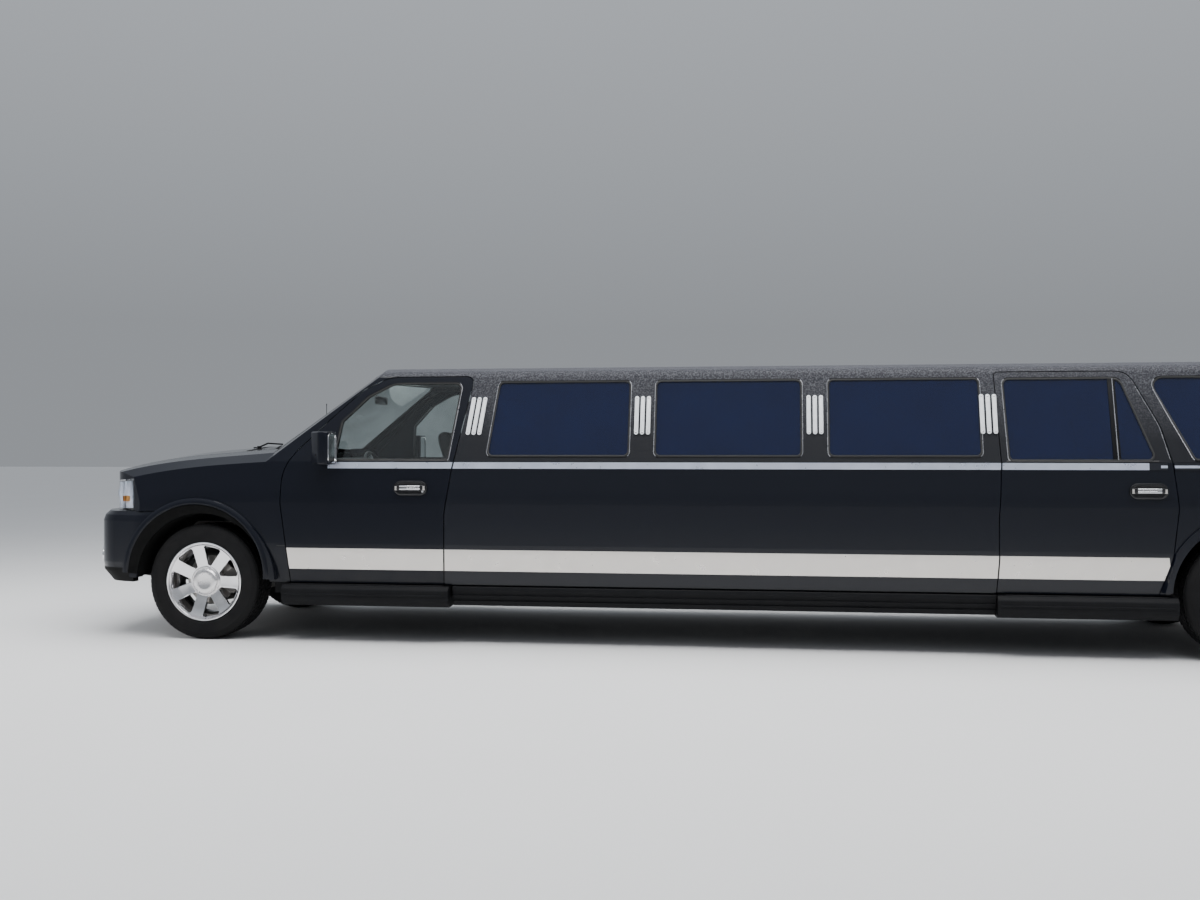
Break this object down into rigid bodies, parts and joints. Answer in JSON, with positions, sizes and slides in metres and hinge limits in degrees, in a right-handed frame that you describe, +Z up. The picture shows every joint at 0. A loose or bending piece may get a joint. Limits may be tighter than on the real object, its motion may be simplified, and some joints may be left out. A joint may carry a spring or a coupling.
{
  "type": "stretch limousine",
  "caption": "Long black stretch limousine on a large utility body, with a long window section, tinted glass, bright side strips and polished spoked wheels.",
  "frame": {"origin": "on the ground below the middle of the vehicle", "axes": "+X forward, +Y to the vehicle's left, +Z up"},
  "size_m": [9.228, 2.336, 1.9199],
  "materials": {
    "body_black": "gloss black paint",
    "vinyl_black": "panel with a grained black covering above the belt",
    "frame_black": "satin black",
    "plastic_black": "grained black",
    "dash_plastic": "soft black",
    "carpet": "floor pan with carpet",
    "leather_black": "black leather",
    "bar_gloss": "dark lacquered wood",
    "bright_steel": "bright stainless strip",
    "grille_chrome": "polished",
    "wheel_chrome": "polished",
    "tyre_rubber": "black rubber",
    "lamp_clear": "clear lamp with an amber corner",
    "lamp_red": "red lamp",
    "bar_white": "bright upright bars",
    "glass_clear": "clear glass",
    "glass_dark": "dark tinted glass",
    "iron_dark": "cast and painted parts",
    "tank_steel": "tank and silencer"
  },
  "bodies": {
    "body": {"chassis_frame": "frame_black", "floor_pan": "carpet", "rocker_left": "plastic_black", "rocker_right": "plastic_black", "front_fender_left": "body_black", "front_fender_right": "body_black", "cowl": "body_black", "side_panel_left": "body_black", "side_panel_right": "body_black", "quarter_panel_left": "body_black", "quarter_panel_right": "body_black", "roof": "vinyl_black", "grille": "grille_chrome", "front_bumper": "body_black", "rear_bumper": "body_black", "headlamps": "lamp_clear", "tail_lamps": "lamp_red", "windscreen": "glass_clear", "side_windows": "glass_dark", "side_trim": "bright_steel", "opera_bars": "bar_white", "front_seats": "leather_black", "lounge_seats": "leather_black", "bar_and_partition": "bar_gloss", "dashboard": "dash_plastic", "powertrain": "iron_dark", "tank_and_exhaust": "tank_steel", "front_suspension": "iron_dark", "rear_suspension": "iron_dark"},
    "knuckle_left": {"steering_knuckle_left": "iron_dark"},
    "wheel_front_left": {"front_wheel_left": "wheel_chrome", "front_tyre_left": "tyre_rubber"},
    "wheel_rear_left": {"rear_wheel_left": "wheel_chrome", "rear_tyre_left": "tyre_rubber"},
    "door_front_left": {"front_door_left": "body_black", "front_door_glass_left": "glass_clear", "front_door_trim_left": "bright_steel"},
    "door_rear_left": {"rear_door_left": "body_black", "rear_door_glass_left": "glass_dark", "rear_door_trim_left": "bright_steel"},
    "knuckle_right": {"steering_knuckle_right": "iron_dark"},
    "wheel_front_right": {"front_wheel_right": "wheel_chrome", "front_tyre_right": "tyre_rubber"},
    "wheel_rear_right": {"rear_wheel_right": "wheel_chrome", "rear_tyre_right": "tyre_rubber"},
    "door_front_right": {"front_door_right": "body_black", "front_door_glass_right": "glass_clear", "front_door_trim_right": "bright_steel"},
    "door_rear_right": {"rear_door_right": "body_black", "rear_door_glass_right": "glass_dark", "rear_door_trim_right": "bright_steel"},
    "bonnet": {"bonnet": "body_black"},
    "liftgate": {"liftgate": "body_black", "liftgate_glass": "glass_dark"}
  },
  "joints": [
    {"name": "steer_left", "type": "hinge", "parent": "body", "child": "knuckle_left", "pos_m": [3.644, 0.8, 0.40525], "axis": [0, 0, 1], "range_deg": [-30, 30]},
    {"name": "wheel_front_left_roll", "type": "hinge", "parent": "knuckle_left", "child": "wheel_front_left", "pos_m": [3.644, 0.851, 0.40525], "axis": [0, 1, 0], "continuous": true},
    {"name": "wheel_rear_left_roll", "type": "hinge", "parent": "body", "child": "wheel_rear_left", "pos_m": [-3.239, 0.851, 0.40525], "axis": [0, 1, 0], "continuous": true},
    {"name": "door_front_left_hinge", "type": "hinge", "parent": "body", "child": "door_front_left", "pos_m": [3.0715, 1.001, 1], "axis": [0, 0, -1], "range_deg": [0, 68]},
    {"name": "door_rear_left_hinge", "type": "hinge", "parent": "body", "child": "door_rear_left", "pos_m": [-1.7235, 1.001, 1], "axis": [0, 0, -1], "range_deg": [0, 68]},
    {"name": "steer_right", "type": "hinge", "parent": "body", "child": "knuckle_right", "pos_m": [3.644, -0.8, 0.40525], "axis": [0, 0, 1], "range_deg": [-30, 30]},
    {"name": "wheel_front_right_roll", "type": "hinge", "parent": "knuckle_right", "child": "wheel_front_right", "pos_m": [3.644, -0.851, 0.40525], "axis": [0, 1, 0], "continuous": true},
    {"name": "wheel_rear_right_roll", "type": "hinge", "parent": "body", "child": "wheel_rear_right", "pos_m": [-3.239, -0.851, 0.40525], "axis": [0, 1, 0], "continuous": true},
    {"name": "door_front_right_hinge", "type": "hinge", "parent": "body", "child": "door_front_right", "pos_m": [3.0715, -1.001, 1], "axis": [0, 0, 1], "range_deg": [0, 68]},
    {"name": "door_rear_right_hinge", "type": "hinge", "parent": "body", "child": "door_rear_right", "pos_m": [-1.7235, -1.001, 1], "axis": [0, 0, 1], "range_deg": [0, 68]},
    {"name": "bonnet_hinge", "type": "hinge", "parent": "body", "child": "bonnet", "pos_m": [3.474, 0, 1.3432], "axis": [0, -1, 0], "range_deg": [0, 50]},
    {"name": "liftgate_hinge", "type": "hinge", "parent": "body", "child": "liftgate", "pos_m": [-4.296, 0, 1.92], "axis": [0, 1, 0], "range_deg": [0, 82]}
  ],
  "couplings": [
    {"joint": "steer_right", "follows": "steer_left", "ratio": 1}
  ]
}
